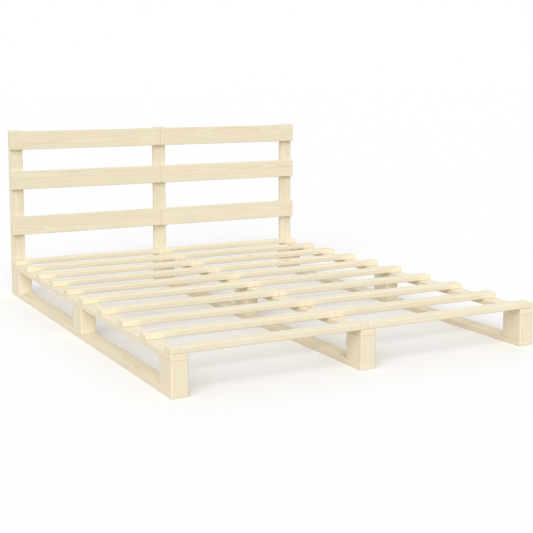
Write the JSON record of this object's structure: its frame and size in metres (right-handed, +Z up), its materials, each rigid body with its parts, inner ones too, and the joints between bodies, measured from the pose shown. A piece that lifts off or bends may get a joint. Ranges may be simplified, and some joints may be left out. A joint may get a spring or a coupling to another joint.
{
  "type": "slatted bed base with headboard",
  "caption": "Low pallet-style double bed base in solid pine: skids with blocks, split cross slats and a slatted headboard bolted on behind the head end.",
  "frame": {"origin": "on the floor under the middle of the bed, headboard and bolt heads included", "axes": "+Z up, +Y from the foot end to the headboard, +X to the right as seen from the foot end"},
  "size_m": [1.65, 2.1076, 0.85],
  "materials": {
    "pine_boards": "planed solid pine, untreated, matt",
    "pine_blocks": "sawn and planed solid pine blocks, untreated, matt",
    "zinc_steel": "zinc-plated steel, satin"
  },
  "bodies": {
    "root": {"left_runner": "pine_boards", "centre_runner": "pine_boards", "right_runner": "pine_boards", "left_foot_block": "pine_blocks", "left_middle_block": "pine_blocks", "left_head_block": "pine_blocks", "centre_foot_block": "pine_blocks", "centre_middle_block": "pine_blocks", "centre_head_block": "pine_blocks", "right_foot_block": "pine_blocks", "right_middle_block": "pine_blocks", "right_head_block": "pine_blocks", "left_stringer": "pine_boards", "centre_stringer": "pine_boards", "right_stringer": "pine_boards", "slat_01_left": "pine_boards", "slat_01_right": "pine_boards", "slat_02_left": "pine_boards", "slat_02_right": "pine_boards", "slat_03_left": "pine_boards", "slat_03_right": "pine_boards", "slat_04_left": "pine_boards", "slat_04_right": "pine_boards", "slat_05_left": "pine_boards", "slat_05_right": "pine_boards", "slat_06_left": "pine_boards", "slat_06_right": "pine_boards", "slat_07_left": "pine_boards", "slat_07_right": "pine_boards", "slat_08_left": "pine_boards", "slat_08_right": "pine_boards", "slat_09_left": "pine_boards", "slat_09_right": "pine_boards", "slat_10_left": "pine_boards", "slat_10_right": "pine_boards", "left_post": "pine_boards", "centre_post": "pine_boards", "right_post": "pine_boards", "upper_board_left": "pine_boards", "upper_board_right": "pine_boards", "middle_board_left": "pine_boards", "middle_board_right": "pine_boards", "lower_board_left": "pine_boards", "lower_board_right": "pine_boards", "left_low_bolt": "zinc_steel", "left_high_bolt": "zinc_steel", "centre_low_bolt": "zinc_steel", "centre_high_bolt": "zinc_steel", "right_low_bolt": "zinc_steel", "right_high_bolt": "zinc_steel", "left_low_barrel_nut": "zinc_steel", "left_high_barrel_nut": "zinc_steel", "centre_low_barrel_nut": "zinc_steel", "centre_high_barrel_nut": "zinc_steel", "right_low_barrel_nut": "zinc_steel", "right_high_barrel_nut": "zinc_steel"}
  },
  "joints": []
}
